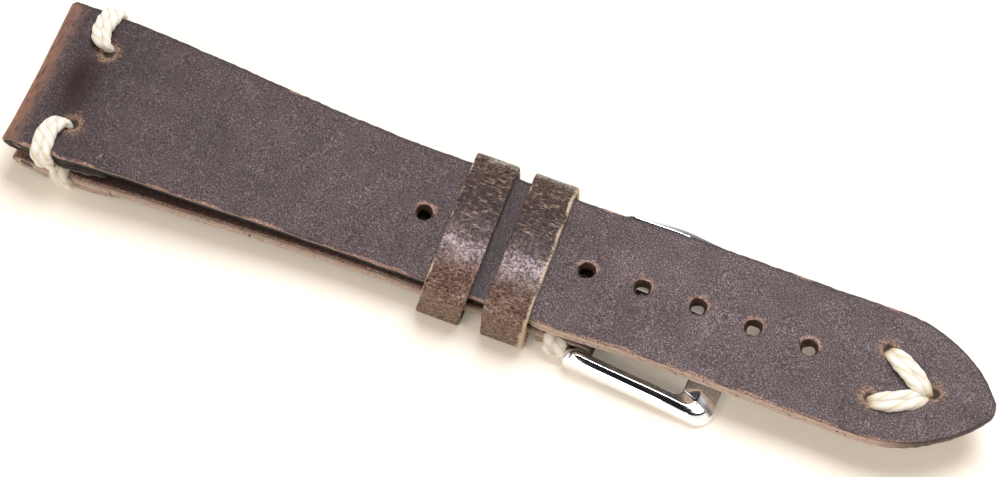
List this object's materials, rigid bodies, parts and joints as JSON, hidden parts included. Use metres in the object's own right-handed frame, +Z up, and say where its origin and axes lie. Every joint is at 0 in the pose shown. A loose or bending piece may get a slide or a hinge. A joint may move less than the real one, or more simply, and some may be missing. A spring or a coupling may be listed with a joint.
{
  "type": "leather watch strap",
  "caption": "Two-piece leather watch strap laid flat, its punched and pointed tail threaded through two keepers over a steel tang buckle, with thick whip stitches.",
  "frame": {"origin": "under the middle of the strap's length and width, on the surface that it lies on", "axes": "+X along the strap from the watch end to the tail tip, +Y across it, +Z up out of the grain side"},
  "size_m": [0.118, 0.0218, 0.0073],
  "materials": {
    "strap_leather": "matte, waxed and scuffed",
    "keeper_leather": "satin, finely cracked",
    "thread": "waxed cotton",
    "buckle_steel": "mirror polished",
    "bar_steel": "turned"
  },
  "bodies": {
    "root": {"buckle_piece": "strap_leather", "fixed_keeper": "keeper_leather", "fixed_keeper_stitch": "thread", "buckle_piece_lug_stitch_near": "thread", "buckle_piece_lug_stitch_far": "thread", "bar_loop_stitch_near": "thread", "bar_loop_stitch_far": "thread", "bar_tube": "bar_steel", "bar_spring": "bar_steel"},
    "tail": {"tail_piece": "strap_leather", "tail_piece_lug_stitch_near": "thread", "tail_piece_lug_stitch_far": "thread", "tail_stitch": "thread"},
    "loose_keeper": {"free_keeper": "keeper_leather", "free_keeper_stitch": "thread"},
    "frame": {"buckle_frame": "buckle_steel"},
    "tang": {"buckle_tang": "buckle_steel"},
    "near_pin": {"bar_pin_near": "bar_steel"},
    "far_pin": {"bar_pin_far": "bar_steel"}
  },
  "joints": [
    {"name": "tail_slide", "type": "slide", "parent": "root", "child": "tail", "axis": [1, 0, 0], "range_m": [-0.0268, 0]},
    {"name": "keeper_slide", "type": "slide", "parent": "root", "child": "loose_keeper", "axis": [1, 0, 0], "range_m": [-0.008, 0.0018]},
    {"name": "frame_swing", "type": "hinge", "parent": "root", "child": "frame", "pos_m": [0.0127, 0, 0.0016], "axis": [0, 1, 0], "range_deg": [0, 80]},
    {"name": "tang_lift", "type": "hinge", "parent": "frame", "child": "tang", "pos_m": [0.0127, 0, 0.0016], "axis": [0, -1, 0], "range_deg": [0, 1.5]},
    {"name": "near_pin_press", "type": "slide", "parent": "root", "child": "near_pin", "axis": [0, 1, 0], "range_m": [0, 0.0012], "stiffness_N_per_m": 400, "deforming": ["bar_spring"]},
    {"name": "far_pin_press", "type": "slide", "parent": "root", "child": "far_pin", "axis": [0, -1, 0], "range_m": [0, 0.0012], "stiffness_N_per_m": 400, "deforming": ["bar_spring"]}
  ]
}
